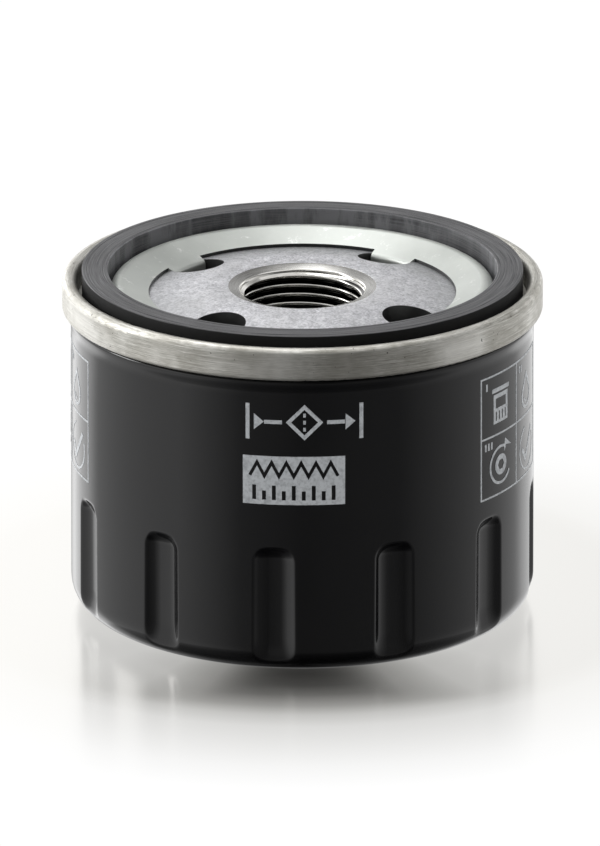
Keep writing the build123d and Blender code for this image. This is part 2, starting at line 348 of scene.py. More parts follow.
def lid_finish():
    """Coated ring inside the gasket, bare brushed steel at the seam, and a cut edge painted near-black,
    partly its dark cut face and partly painted shade of the gap beneath it.
    """
    made, tree, shader = material("lid_finish")
    place, _, radius, height = axis_place(tree)
    broad = noise(tree, turned_place(tree, 5.0, 9000), 1.0, 5, 0.65)
    fine = noise(tree, turned_place(tree, 26.0, 16000), 1.0, 3, 0.6)
    lines = calc(tree, "ADD", calc(tree, "MULTIPLY", broad, 0.6), calc(tree, "MULTIPLY", fine, 0.4))
    cloud = noise(tree, place, 120, 4, 0.6)

    steel = ramp(
        tree,
        lines,
        (0.36, (0.27, 0.26, 0.23)),
        (0.50, (0.50, 0.49, 0.45)),
        (0.62, (0.76, 0.75, 0.71)),
    )
    steel = mixed(tree, ramp(tree, cloud, (0.40, 0.0), (0.64, 0.6)), steel, (0.33, 0.315, 0.275))
    off_line = calc(tree, "ABSOLUTE", calc(tree, "SUBTRACT", height, LID_WORN_LINE * MM))
    worn = ramp(tree, off_line, (0.0, 0.6), (0.18 * MM, 0.0))
    worn = calc(tree, "MULTIPLY", worn, scratch_share(tree, place))
    steel = mixed(tree, worn, steel, (0.92, 0.91, 0.87))
    speck = ramp(tree, noise(tree, place, 1300, 2, 0.5), (0.71, 0.0), (0.74, 0.85))
    steel = mixed(tree, speck, steel, (0.035, 0.032, 0.028))

    coat = ramp(tree, cloud, (0.35, (0.49, 0.512, 0.485)), (0.65, (0.565, 0.588, 0.556)))
    mark = ramp(tree, noise(tree, place, 420, 6, 0.75), (0.59, 0.0), (0.66, 0.75))
    coat = mixed(tree, mark, coat, (0.78, 0.79, 0.77))

    seam = calc(tree, "GREATER_THAN", radius, LID_COATED_R * MM)
    shown = mixed(tree, seam, coat, steel)
    # Painted shade: the upright cut edge of the middle opening is painted near-black and not metallic;
    # it stands for the dark cut face and the shade of the gap under it.
    off_edge = calc(tree, "ABSOLUTE", calc(tree, "SUBTRACT", radius, LID_EDGE_R * MM))
    edge = calc(tree, "LESS_THAN", off_edge, 0.03 * MM)
    upright = calc(tree, "LESS_THAN", calc(tree, "ABSOLUTE", upward(tree)), 0.5)
    edge = calc(tree, "MULTIPLY", edge, upright)
    tree.links.new(mixed(tree, edge, shown, (0.004, 0.004, 0.004)), shader.inputs["Base Color"])

    coat_rough = ramp(tree, cloud, (0.3, 0.30), (0.7, 0.42))
    steel_rough = ramp(tree, lines, (0.3, 0.56), (0.7, 0.36))
    tree.links.new(mixed(tree, seam, coat_rough, steel_rough), shader.inputs["Roughness"])
    metal = calc(tree, "ADD", calc(tree, "MULTIPLY", seam, 0.4), 0.5)
    metal = calc(tree, "MULTIPLY", metal, calc(tree, "SUBTRACT", 1.0, edge))
    tree.links.new(metal, shader.inputs["Metallic"])
    relief = calc(tree, "MULTIPLY", lines, seam)
    tree.links.new(bump(tree, relief, 0.03 * MM, 0.7), shader.inputs["Normal"])
    return made


def plate_zinc():
    """Granular zinc plating, smoother and painted darker on the funnel, bare where the thread was cut,
    with painted shade on the sloping ring, in the thread grooves and on the upright walls.
    """
    made, tree, shader = material("plate_zinc")
    place, _, radius, height = axis_place(tree)
    grain = noise(tree, place, 2300, 4, 0.7)
    coarse = noise(tree, place, 700, 3, 0.6)
    cloud = noise(tree, place, 110, 3)
    both = calc(tree, "ADD", calc(tree, "MULTIPLY", grain, 0.65), calc(tree, "MULTIPLY", coarse, 0.35))
    turned = noise(tree, turned_place(tree, 4.0, 6000), 1.0, 4, 0.6)

    zinc = ramp(
        tree,
        both,
        (0.38, (0.36, 0.36, 0.38)),
        (0.5, (0.66, 0.66, 0.69)),
        (0.62, (0.97, 0.97, 1.0)),
    )
    zinc = mixed(tree, ramp(tree, cloud, (0.4, 0.0), (0.7, 0.4)), zinc, (0.50, 0.50, 0.50))
    # Painted shade: the sloping ring from 16.5 mm to 24 mm is dulled towards dark grey.
    painted_slope_shade = rise(tree, radius, 16.5 * MM, 24.0 * MM)
    zinc = mixed(tree, calc(tree, "MULTIPLY", painted_slope_shade, 0.45), zinc, (0.36, 0.37, 0.375))

    # Painted shade: the funnel is given a darker grey than the plate; its smoother finish is the formed
    # surface's own.
    funnel = ramp(tree, turned, (0.35, (0.33, 0.325, 0.31)), (0.65, (0.47, 0.465, 0.45)))
    formed = calc(tree, "LESS_THAN", radius, FUNNEL_R * MM)
    shown = mixed(tree, formed, zinc, funnel)

    steel = ramp(tree, turned, (0.35, (0.50, 0.49, 0.46)), (0.65, (0.74, 0.73, 0.70)))
    # Painted shade: the thread's grooves, below the top of the bore, are painted near-black between the
    # bright crests.
    depth = rise(tree, radius, 9.26 * MM, 9.45 * MM)
    threaded = calc(tree, "LESS_THAN", height, BORE_TOP * MM)
    steel = mixed(tree, calc(tree, "MULTIPLY", depth, threaded), steel, (0.025, 0.024, 0.022))
    bare = calc(tree, "LESS_THAN", radius, BARE_R * MM)
    shown = mixed(tree, bare, shown, steel)

    # Painted shade: upright faces beyond 16 mm from the axis, the inlets' walls and the plate's rim, are
    # painted dark grey.
    painted_wall_shade = calc(tree, "LESS_THAN", calc(tree, "ABSOLUTE", upward(tree)), 0.4)
    painted_wall_shade = calc(tree, "MULTIPLY", painted_wall_shade, calc(tree, "GREATER_THAN", radius, 16 * MM))
    shown = mixed(tree, painted_wall_shade, shown, (0.10, 0.10, 0.10))
    tree.links.new(shown, shader.inputs["Base Color"])

    rough = mixed(tree, formed, ramp(tree, both, (0.35, 0.50), (0.65, 0.34)), (0.26, 0.26, 0.26))
    rough = mixed(tree, bare, rough, (0.12, 0.12, 0.12))
    tree.links.new(rough, shader.inputs["Roughness"])
    metal = calc(tree, "ADD", calc(tree, "MULTIPLY", formed, 0.12), 0.88)
    tree.links.new(metal, shader.inputs["Metallic"])
    relief = calc(tree, "MULTIPLY", both, calc(tree, "SUBTRACT", 1.0, formed))
    tree.links.new(bump(tree, relief, 0.06 * MM, 0.7), shader.inputs["Normal"])
    return made


def moulded_rubber(name, tint):
    """Matt black rubber with fine turned lines."""
    made, tree, shader = material(name)
    lines = noise(tree, turned_place(tree, 3.0, 7000), 1.0, 4, 0.6)
    bloom = noise(tree, object_place(tree), 240, 4, 0.6)
    dark = tuple(0.6 * c for c in tint)
    pale = tuple(1.9 * c for c in tint)
    colour = ramp(tree, lines, (0.35, dark), (0.65, tint))
    colour = mixed(tree, ramp(tree, bloom, (0.45, 0.0), (0.75, 0.4)), colour, pale)
    tree.links.new(colour, shader.inputs["Base Color"])
    tree.links.new(ramp(tree, lines, (0.3, 0.50), (0.7, 0.36)), shader.inputs["Roughness"])
    tree.links.new(bump(tree, lines, 0.03 * MM, 0.5), shader.inputs["Normal"])
    return made


def gasket_rubber():
    """Black rubber: turned lines on the faces; the inner wall lifted to grey in vertical smears as
    painted reflection of the lid, and the outer wall painted near-black as painted shade in the groove
    by the seam.
    """
    made, tree, shader = material("gasket_rubber")
    place, _, radius, _ = axis_place(tree)
    lines = noise(tree, turned_place(tree, 3.0, 9000), 1.0, 5, 0.65)
    smear = noise(tree, turned_place(tree, 5.0, 40), 1.0, 5, 0.7)
    bloom = noise(tree, place, 240, 4, 0.6)
    colour = ramp(tree, lines, (0.38, (0.008, 0.008, 0.010)), (0.62, (0.120, 0.120, 0.126)))
    colour = mixed(tree, ramp(tree, bloom, (0.45, 0.0), (0.75, 0.5)), colour, (0.060, 0.060, 0.062))
    # Painted reflection: the inner wall is lifted towards grey in vertical smears, standing in for the
    # bright lid that it faces.
    inside = calc(tree, "LESS_THAN", radius, (GASKET_IN_R + 0.15) * MM)
    smeared_reflection = ramp(tree, smear, (0.38, 0.10), (0.50, 0.42), (0.58, 1.0))
    colour = mixed(tree, calc(tree, "MULTIPLY", inside, smeared_reflection), colour, (0.19, 0.19, 0.20))
    # Painted shade: the outer wall, deep in the groove against the seam, is painted near-black and dull.
    outside = calc(tree, "GREATER_THAN", radius, (GASKET_OUT_R - 0.55) * MM)
    outside = calc(tree, "MULTIPLY", outside, calc(tree, "LESS_THAN", upward(tree), 0.6))
    colour = mixed(tree, outside, colour, (0.0015, 0.0015, 0.0016))
    tree.links.new(colour, shader.inputs["Base Color"])
    rough = mixed(tree, outside, ramp(tree, lines, (0.3, 0.52), (0.7, 0.36)), (0.7, 0.7, 0.7))
    tree.links.new(rough, shader.inputs["Roughness"])
    tree.links.new(bump(tree, lines, 0.05 * MM, 0.8), shader.inputs["Normal"])
    set_shader(shader, IOR=1.42)
    return made


def plain_steel(name, tint, rough):
    """Rolled sheet or drawn wire with faint clouds and grain."""
    made, tree, shader = material(name)
    place = object_place(tree)
    cloud = noise(tree, place, 130, 4, 0.6)
    grain = noise(tree, place, 2400, 4, 0.7)
    low = tuple(0.75 * c for c in tint)
    both = calc(tree, "ADD", calc(tree, "MULTIPLY", cloud, 0.5), calc(tree, "MULTIPLY", grain, 0.5))
    tree.links.new(ramp(tree, both, (0.35, low), (0.65, tint)), shader.inputs["Base Color"])
    tree.links.new(ramp(tree, both, (0.35, rough + 0.12), (0.65, rough)), shader.inputs["Roughness"])
    tree.links.new(bump(tree, grain, 0.02 * MM, 0.4), shader.inputs["Normal"])
    set_shader(shader, Metallic=1.0)
    return made


def filter_paper():
    """Resin-treated paper: fibres, pin holes and uneven cure."""
    made, tree, shader = material("filter_paper")
    place = object_place(tree)
    fibre = noise(tree, place, 3000, 6, 0.75)
    cure = noise(tree, place, 70, 3)
    colour = ramp(tree, fibre, (0.35, (0.52, 0.39, 0.17)), (0.65, (0.78, 0.64, 0.36)))
    cured = mixed(tree, ramp(tree, cure, (0.4, 0.0), (0.7, 0.4)), colour, (0.50, 0.36, 0.16))
    tree.links.new(cured, shader.inputs["Base Color"])
    tree.links.new(bump(tree, fibre, 0.06 * MM, 0.7), shader.inputs["Normal"])
    set_shader(shader, Roughness=0.85)
    return made


def cast_resin(name, tint):
    """Poured adhesive or compound with small bubbles."""
    made, tree, shader = material(name)
    place = object_place(tree)
    bubble = node(tree, "TexVoronoi", {"Vector": place, "Scale": 1100.0}).outputs["Distance"]
    cloud = noise(tree, place, 200, 4)
    dark = tuple(0.8 * c for c in tint)
    tree.links.new(ramp(tree, cloud, (0.35, dark), (0.65, tint)), shader.inputs["Base Color"])
    pits = ramp(tree, bubble, (0.05, 0.0), (0.25, 1.0))
    tree.links.new(bump(tree, pits, 0.03 * MM, 0.5), shader.inputs["Normal"])
    set_shader(shader, Roughness=0.42)
    return made


def screen_ink():
    """Pale grey ink, thin and a little broken where it dried."""
    made, tree, shader = material("screen_ink")
    place = object_place(tree)
    thin = noise(tree, place, 1500, 4, 0.7)
    colour = ramp(tree, thin, (0.35, (0.30, 0.315, 0.33)), (0.55, (0.47, 0.49, 0.51)))
    tree.links.new(colour, shader.inputs["Base Color"])
    tree.links.new(ramp(tree, thin, (0.3, 0.5), (0.7, 0.36)), shader.inputs["Roughness"])
    tree.links.new(bump(tree, thin, 0.01 * MM, 0.4), shader.inputs["Normal"])
    return made


def paint_node(name, made):
    """Gives a CAD node its finished material."""
    for slot in NODES[name].material_slots:
        slot.material = made


# ---- pieces -----------------------------------------------------------------------------------
def soft_minimum(first, second, softness):
    """The smaller of two values, with the corner between them rounded."""
    share = np.clip(0.5 + 0.5 * (second - first) / softness, 0, 1)
    return second * (1 - share) + first * share - softness * share * (1 - share)


def press_flutes(radius, height, angle):
    """Presses the wrench flutes into a turned wall: curved sides, a narrow floor, a rounded top end."""
    pitch = 2 * math.pi / FLUTES
    off = (angle - math.radians(FLUTE_AZIMUTH) + pitch / 2) % pitch - pitch / 2
    across = np.abs(off) * CAN_R - (FLUTE_HALF_W - FLUTE_END_R)
    above = height - (FLUTE_TOP - FLUTE_END_R)
    outside = np.hypot(np.maximum(across, 0), np.maximum(above, 0))
    inset = FLUTE_END_R - outside - np.minimum(np.maximum(across, above), 0)
    share = np.clip(inset / FLUTE_SIDE, 0, 1)
    depth = FLUTE_DEPTH * (1 - (1 - share) ** 2) + np.minimum(inset, 0) * 2 * FLUTE_DEPTH / FLUTE_SIDE
    depth = depth * np.clip(FLUTE_SHALLOW + (height - 1.8) / 6, FLUTE_SHALLOW, 1)
    wall = (height < FLUTE_TOP + 5) & (radius > DOME_R + 2)
    return np.where(wall, soft_minimum(radius, CAN_R - depth, FLUTE_EDGE), radius), height


def flute_angles():
    """Angles round the can, closer together at the flutes' edges."""
    pitch = 2 * math.pi / FLUTES
    edge = math.asin(FLUTE_HALF_W / CAN_R)
    even = np.linspace(-pitch / 2, pitch / 2, 2000)
    density = 1 + 7 * np.exp(-(((np.abs(even) - edge) / 0.018) ** 2))
    rank = np.cumsum(density)
    rank = (rank - rank[0]) / (rank[-1] - rank[0])
    one = np.interp(np.arange(POINTS_PER_FLUTE) / POINTS_PER_FLUTE, rank, even)
    first = math.radians(FLUTE_AZIMUTH)
    return np.concatenate([first + pitch * i + one for i in range(FLUTES)])


def can_radius(height):
    """Outer radius of the tapered wall above the flutes."""
    return CAN_R + (CAN_NECK_R - CAN_R) * (height - WALL_LOW) / (WALL_HIGH - WALL_LOW)


def can_shell():
    """The deep-drawn can with its closed end, flutes and the flange folded into the seam."""
    slope_r = DOME_R + 2 * CAN_DOME
    inner_bend = 0.25
    hook_top = 52.5 + inner_bend
    path = rounded(
        [
            (0.0, CAN_DOME),
            (DOME_R, CAN_DOME, 2.0),
            (slope_r, 0.0, 2.0),
            (CAN_R, 0.0, CAN_CORNER_R),
            (CAN_R, WALL_LOW),
            (can_radius(FLUTE_TOP - 4.2), FLUTE_TOP - 4.2),
            (can_radius(FLUTE_TOP + 0.8), FLUTE_TOP + 0.8),
            (CAN_NECK_R, WALL_HIGH, 4.0),
            (CAN_NECK_R + 0.52, 48.25, 0.5),
            (CAN_NECK_R, 48.8, 0.1),
            (CAN_NECK_R, hook_top, inner_bend),
            (CAN_NECK_R + 2 * inner_bend, hook_top, inner_bend),
            (CAN_NECK_R + 2 * inner_bend, 50.0),
        ],
        10,
    )

    def longest(z):
        """Short runs at the corner, at the flutes' ends and under the seam, long ones between."""
        if z < 1.8 or 8 < z < 15:
            return 3.0
        if z < 8 or z > 45.5:
            return 0.9
        return 0.22 if z < 25 else 8.0

    path = divided(path, longest)
    shell = lathe("can_shell", path, flute_angles(), press_flutes)
    weld_axis(shell)
    sheet = shell.modifiers.new("sheet", "SOLIDIFY")
    sheet.thickness = CAN_SHEET * MM
    sheet.offset = -1
    shell.data.materials.append(black_paint())
    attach(shell, "canister")
    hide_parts("housing_can")


def apply_modifiers(piece, sharp):
    """Applies the piece's modifiers and marks creases steeper than sharp degrees."""
    graph = bpy.context.evaluated_depsgraph_get()
    mesh = bpy.data.meshes.new_from_object(piece.evaluated_get(graph))
    piece.modifiers.clear()
    piece.data = mesh
    mesh.shade_smooth()
    mesh.set_sharp_from_angle(angle=math.radians(sharp))


def sealing_ring():
    """The square-section gasket, with faint turned steps on its top and a parting line outside."""
    low, high = HEIGHT - GASKET_H, HEIGHT
    inner, outer, bend = GASKET_IN_R, GASKET_OUT_R, 0.16
    corners = [
        (inner, 52.0),
        (inner, low, bend),
        (outer, low, bend),
        (outer, 52.6),
        (outer - 0.03, 52.68),
        (outer, 52.76),
        (outer, high, bend),
        (outer - 0.75, high),
        (outer - 0.80, high - 0.05),
        (outer - 0.92, high - 0.05),
        (outer - 0.97, high),
        (inner + 0.82, high),
        (inner + 0.77, high - 0.04),
        (inner + 0.66, high - 0.04),
        (inner + 0.61, high),
        (inner, high, bend),
    ]
    path = divided(rounded(corners + corners[:1], 6), lambda z: 0.5)[:-1]
    ring = lathe("gasket_ring", path, even_angles(360), closed=True)
    ring.data.set_sharp_from_angle(angle=math.radians(32))
    ring.data.materials.append(gasket_rubber())
    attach(ring, "canister")
    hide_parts("sealing_gasket")


def thread_profile():
    """Bore radius over one pitch, groove in the middle, with rounded crests and roots."""
    count = 400
    off = np.abs(np.arange(count) / count - 0.5)
    root = 1 / 16
    flank = (THREAD_MAJOR_R - THREAD_MINOR_R) * math.tan(math.radians(30)) / THREAD_PITCH
    depth = np.clip(1 - (off - root) / flank, 0, 1)
    width = int(0.23 * count)
    window = np.hanning(width + 2)[1:-1]
    padded = np.concatenate([depth[-width:], depth, depth[:width]])
    soft = np.convolve(padded, window / window.sum(), "same")[width:-width]
    return THREAD_MINOR_R + (THREAD_MAJOR_R - THREAD_MINOR_R) * soft


def threaded_base():
    """Dished base plate with the helical thread in its collar and the four oil inlets."""
    under = PLATE_TOP - PLATE_T
    rim_under = PLATE_RIM_TOP - PLATE_T
    bore = [(THREAD_MINOR_R, z) for z in np.arange(BORE_TOP, BORE_BOTTOM, -0.09)]
    lead = [(THREAD_MINOR_R + 0.55 * t, BORE_TOP + 0.33 * t) for t in (1.0, 0.75, 0.5, 0.25)]
    body = rounded(
        [
            (THREAD_MINOR_R, BORE_BOTTOM),
            (THREAD_MINOR_R + 0.6, COLLAR_BOTTOM),
            (COLLAR_R, COLLAR_BOTTOM, 0.4),
            (COLLAR_R, COLLAR_STEP),
            (COLLAR_ROOT_R, COLLAR_STEP),
            (COLLAR_ROOT_R, under - 0.1, 1.2),
            (PLATE_FLAT_R, under, 2.0),
            (LID_EDGE_R, under - 1.42),
            (26.8, rim_under, 1.0),
            (PLATE_OUT_R, rim_under, 0.4),
            (PLATE_OUT_R, PLATE_RIM_TOP, 0.4),
            (28.0, PLATE_RIM_TOP, 1.0),
            (25.2, PLATE_TOP - 1.58, 1.0),
            (PLATE_FLAT_R, PLATE_TOP, 8.0),
            (11.8, PLATE_TOP, 2.0),
            (9.9, PLATE_TOP - 0.58, 0.4),
            (9.74, PLATE_TOP - 1.0),
        ],
        8,
    )
    body = divided(body, lambda z: 1.5)
    path = np.concatenate([lead[1:], bore, body])
    profile = thread_profile()
    phases = np.arange(len(profile)) / len(profile)

    def cut_thread(radius, height, angle):
        """Moves the bore's wall out to the groove, which runs out before the bore ends."""
        phase = (height / THREAD_PITCH - angle / (2 * math.pi) + 0.5) % 1.0
        groove = np.interp(phase, phases, profile, period=1.0)
        depth = np.clip((height - THREAD_END) / 1.2, 0, 1)
        groove = THREAD_MINOR_R + (groove - THREAD_MINOR_R) * depth
        in_bore = (radius < 9.8) & (height > BORE_BOTTOM)
        return np.where(in_bore, np.maximum(radius, groove), radius), height

    base = lathe("threaded_base", path, even_angles(240), cut_thread, closed=True)
    cutters = []
    for i in range(HOLES):
        cutter = inlet_cutter(math.radians(HOLE_AZIMUTH + 360 / HOLES * i))
        cut = base.modifiers.new("inlet", "BOOLEAN")
        cut.operation = "DIFFERENCE"
        cut.solver = "EXACT"
        cut.object = cutter
        cutters.append(cutter)
    apply_modifiers(base, 38)
    for cutter in cutters:
        bpy.data.objects.remove(cutter)
    base.data.materials.clear()
    base.data.materials.append(plate_zinc())
    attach(base, "canister")
    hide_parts("threaded_plate")


def inlet_cutter(azimuth):
    """A round bar that cuts one oil inlet through the plate."""
    count = 64
    turn = even_angles(count)
    x = HOLE_CIRCLE_R * math.cos(azimuth) + HOLE_R * np.cos(turn)
    y = HOLE_CIRCLE_R * math.sin(azimuth) + HOLE_R * np.sin(turn)
    low = np.stack([x, y, np.full(count, INLET_CUT_LOW)], axis=-1)
    high = np.stack([x, y, np.full(count, INLET_CUT_HIGH)], axis=-1)
    faces = [(j, (j + 1) % count, count + (j + 1) % count, count + j) for j in range(count)]
    faces += [tuple(reversed(range(count))), tuple(range(count, 2 * count))]
    return mesh_object("inlet_cutter", np.concatenate([low, high]), faces, smooth=False)


def stroke(points, width):
    """Corners of a bent stroke with mitred joints."""
    points = [np.array(p, float) for p in points]
    left, right = [], []
    for i, here in enumerate(points):
        before = points[max(i - 1, 0)]
        after = points[min(i + 1, len(points) - 1)]
        entry = here - before if i else after - here
        leave = after - here if i < len(points) - 1 else entry
        entry = entry / np.linalg.norm(entry)
        leave = leave / np.linalg.norm(leave)
        middle = entry + leave
        middle = middle / np.linalg.norm(middle)
        normal = np.array([-middle[1], middle[0]])
        reach = width / 2 / max(0.35, float(normal @ np.array([-entry[1], entry[0]])))
        left.append(here + normal * reach)
        right.append(here - normal * reach)
    return left + right[::-1]


def rectangle(x, z, width, height):
    """Corners of an upright rectangle about its centre."""
    w, h = width / 2, height / 2
    return [(x - w, z - h), (x + w, z - h), (x + w, z + h), (x - w, z + h)]


def arc(x, z, radius, first, last, count):
    """Points on an arc between two angles in degrees."""
    turn = np.radians(np.linspace(first, last, count))
    return [(x + radius * math.cos(a), z + radius * math.sin(a)) for a in turn]


def drop(x, z, size):
    """A teardrop with its point up."""
    return [(x, z + 1.7 * size)] + arc(x, z, size, 28, -208, 24)


def print_mark(name, loops, azimuth, ink):
    """A thin printed mark wrapped on the can; x runs round the can from azimuth, z is the height."""
    outline = bpy.data.curves.new(name, "CURVE")
    outline.dimensions = "2D"
    outline.fill_mode = "BOTH"
    for loop in loops:
        spline = outline.splines.new("POLY")
        spline.points.add(len(loop) - 1)
        for point, place in zip(spline.points, loop):
            point.co = (place[0], place[1], 0, 1)
        spline.use_cyclic_u = True
    drawn = bpy.data.objects.new(name + "_outline", outline)
    bpy.context.scene.collection.objects.link(drawn)
    graph = bpy.context.evaluated_depsgraph_get()
    flat = bpy.data.meshes.new_from_object(drawn.evaluated_get(graph))
    bpy.data.objects.remove(drawn)
    shape = bmesh.new()
    shape.from_mesh(flat)
    bpy.data.meshes.remove(flat)
    bmesh.ops.remove_doubles(shape, verts=shape.verts, dist=0.0005)
    low = min(v.co.x for v in shape.verts)
    high = max(v.co.x for v in shape.verts)
    for x in np.arange(low + 0.9, high - 0.1, 0.9):
        every = shape.verts[:] + shape.edges[:] + shape.faces[:]
        bmesh.ops.bisect_plane(shape, geom=every, plane_co=(x, 0, 0), plane_no=(1, 0, 0))
    bmesh.ops.dissolve_degenerate(shape, edges=shape.edges, dist=0.0004)
    for vert in shape.verts:
        radius = can_radius(vert.co.y) + INK_T
        turn = math.radians(azimuth) + vert.co.x / radius
        vert.co = Vector((radius * math.cos(turn), radius * math.sin(turn), vert.co.y)) * MM
    bmesh.ops.recalc_face_normals(shape, faces=shape.faces)
    outward = 0.0
    for face in shape.faces:
        middle = face.calc_center_median()
        outward += face.normal.x * middle.x + face.normal.y * middle.y
    if outward < 0:
        bmesh.ops.reverse_faces(shape, faces=shape.faces)
    mesh = bpy.data.meshes.new(name)
    shape.to_mesh(mesh)
    shape.free()
    mark = bpy.data.objects.new(name, mesh)
    bpy.context.scene.collection.objects.link(mark)
    thick = mark.modifiers.new("thickness", "SOLIDIFY")
    thick.thickness = INK_T * MM
    thick.offset = -1
    mesh.materials.append(ink)
    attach(mark, "canister")


def filter_symbol():
    """Arrow, diamond with a dashed line, arrow: the usual sign for a filter."""
    z, half, width = 41.8, 2.9, 0.62
    diamond = [(0, z + half), (half, z), (0, z - half), (-half, z)]
    inner = [(x * 0.72, z + (y - z) * 0.72) for x, y in diamond]
    loops = [diamond, inner]
    for shift in (1.15, 0.0, -1.15):
        loops.append(rectangle(0, z + shift, 0.4, width))
    for side in (-1, 1):
        loops.append(rectangle(side * 4.9, z, 2.8, width))
        loops.append(rectangle(side * 8.9, z, width, 2 * half))
    loops.append([(-7.9, z - 1.3), (-6.35, z), (-7.9, z + 1.3)])
    loops.append([(6.4, z - 1.3), (7.95, z), (6.4, z + 1.3)])
    return loops


def pleat_block():
    """Pale block with a pleat zigzag over a row of bars."""
    z = 32.25
    loops = [rectangle(0, z, 16.0, 7.9)]
    zigzag = [(-6.9 + 1.15 * i, z + (2.9 if i % 2 else 0.7)) for i in range(13)]
    loops.append(stroke(zigzag, 0.52))
    for i in range(9):
        tall = 2.4 if i % 2 == 0 else 1.5
        loops.append(rectangle(-6.2 + 1.55 * i, z - 3.2 + tall / 2, 0.62, tall))
    return loops


def grid_panel():
    """Outlined two-by-two panel: a filter, a drop of oil, a turning arrow and a tick.

    One, two and three short bars number the first three.
    """
    low, high, width, line = 24.2, 44.4, 21.6, 0.30
    step_bar = (0.4, 1.2)
    middle = (low + high) / 2
    cell_w, cell_h = (width - 3 * line) / 2, (high - low - 3 * line) / 2
    loops = [rectangle(0, middle, width, high - low)]
    centres = []
    for row in (1, -1):
        for side in (-1, 1):
            centre = (side * (cell_w + line) / 2, middle + row * (cell_h + line) / 2)
            loops.append(rectangle(*centre, cell_w, cell_h))
            centres.append(centre)
    x, z = centres[0]
    loops.append(rectangle(x, z + 2.4, 5.0, 0.7))
    loops.append([(x - 2.1, z + 1.7), (x + 2.1, z + 1.7), (x + 2.1, z - 3.1), (x - 2.1, z - 3.1)])
    loops.append(rectangle(x, z + 0.2, 3.0, 1.6))
    for i in range(4):
        loops.append(rectangle(x - 1.35 + 0.9 * i, z - 1.9, 0.34, 1.5))
    loops.append(rectangle(x - 3.9, z + 3.4, *step_bar))
    x, z = centres[1]
    loops.append(drop(x - 0.6, z - 1.6, 2.3))
    loops.append(drop(x - 0.6, z - 1.6, 1.75))
    loops.append(stroke(arc(x - 0.6, z - 1.6, 1.1, 200, 290, 8), 0.35))
    loops.append(rectangle(x - 4.0, z + 3.4, *step_bar))
    loops.append(rectangle(x - 3.2, z + 3.4, *step_bar))
    x, z = centres[2]
    loops.append(stroke(arc(x, z - 0.2, 3.0, 60, 330, 30), 0.45))
    loops.append([(x + 1.0, z + 1.5), (x + 3.3, z + 2.3), (x + 1.3, z + 3.8)])
    loops.append(arc(x, z - 0.2, 1.7, 0, 345, 24))
    loops.append(arc(x, z - 0.2, 0.9, 0, 300, 6))
    for i in range(3):
        loops.append(rectangle(x - 4.2 + 0.8 * i, z + 3.5, *step_bar))
    x, z = centres[3]
    loops.append(stroke([(x - 2.6, z - 0.3), (x - 0.9, z - 2.3), (x + 2.8, z + 2.2)], 0.75))
    loops.append(stroke(arc(x, z - 0.4, 3.7, 110, 380, 30), 0.35))
    return loops


def valve_membrane(rubber):
    """The anti-drain valve's hub and web; the web's outer end follows the lip."""
    hub, rim, under, over = 12.34, 27.3, 42.42, 43.96
    corners = [
        (hub, 43.2),
        (hub, under, 0.2),
        (15.2, under, 0.3),
        (16.0, 42.92, 0.5),
        (rim, 45.6, 0.1),
        (rim, 46.5, 0.1),
        (15.8, over, 0.5),
        (hub, over, 0.2),
    ]
    path = divided(rounded(corners + corners[:1], 5), lambda z: 0.6)[:-1]
    web = lathe("valve_membrane", path, even_angles(180), closed=True)
    web.data.materials.append(rubber)
    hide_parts("antidrain_membrane")
    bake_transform(web)


def valve_spring(steel):
    """Round-wire spring with its end turns closed, held at its top by the cage."""
    low, high, wire, mean = 11.24, 23.78, 0.5, 6.6
    turns, closed = 5.5, 1.0
    steps = 48
    count = int(turns * steps) + 1
    turn = np.linspace(0, turns, count)
    end_pitch = 2 * wire + 0.03
    middle_pitch = (high - low - 2 * wire - 2 * closed * end_pitch) / (turns - 2 * closed)
    share = np.clip(np.minimum(turn - closed + 0.25, turns - closed + 0.25 - turn) / 0.5, 0, 1)
    pitch = end_pitch + (middle_pitch - end_pitch) * share * share * (3 - 2 * share)
    climb = np.concatenate([[0], np.cumsum((pitch[1:] + pitch[:-1]) / 2 / steps)])
    height = low + wire + climb / climb[-1] * (high - low - 2 * wire)
    angle = turn * 2 * math.pi
    centre = np.stack([mean * np.cos(angle), mean * np.sin(angle), height], axis=-1)
    along = np.gradient(centre, axis=0)
    along /= np.linalg.norm(along, axis=1)[:, None]
    out = np.stack([np.cos(angle), np.sin(angle), np.zeros(count)], axis=-1)
    up = np.cross(along, out)
    sides = 14
    around = even_angles(sides)
    points = []
    for i in range(count):
        points += [centre[i] + wire * (math.cos(a) * out[i] + math.sin(a) * up[i]) for a in around]
    faces = []
    for i in range(count - 1):
        for j in range(sides):
            k = (j + 1) % sides
            faces.append((i * sides + j, (i + 1) * sides + j, (i + 1) * sides + k, i * sides + k))
    faces.append(tuple(range(sides)))
    faces.append(tuple(reversed(range((count - 1) * sides, count * sides))))
    coil = mesh_object("valve_spring", points, faces)
    coil.data.set_sharp_from_angle(angle=math.radians(50))
    coil.data.materials.append(steel)
    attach(coil, "canister")
    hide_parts("bypass_spring")
    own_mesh(coil)


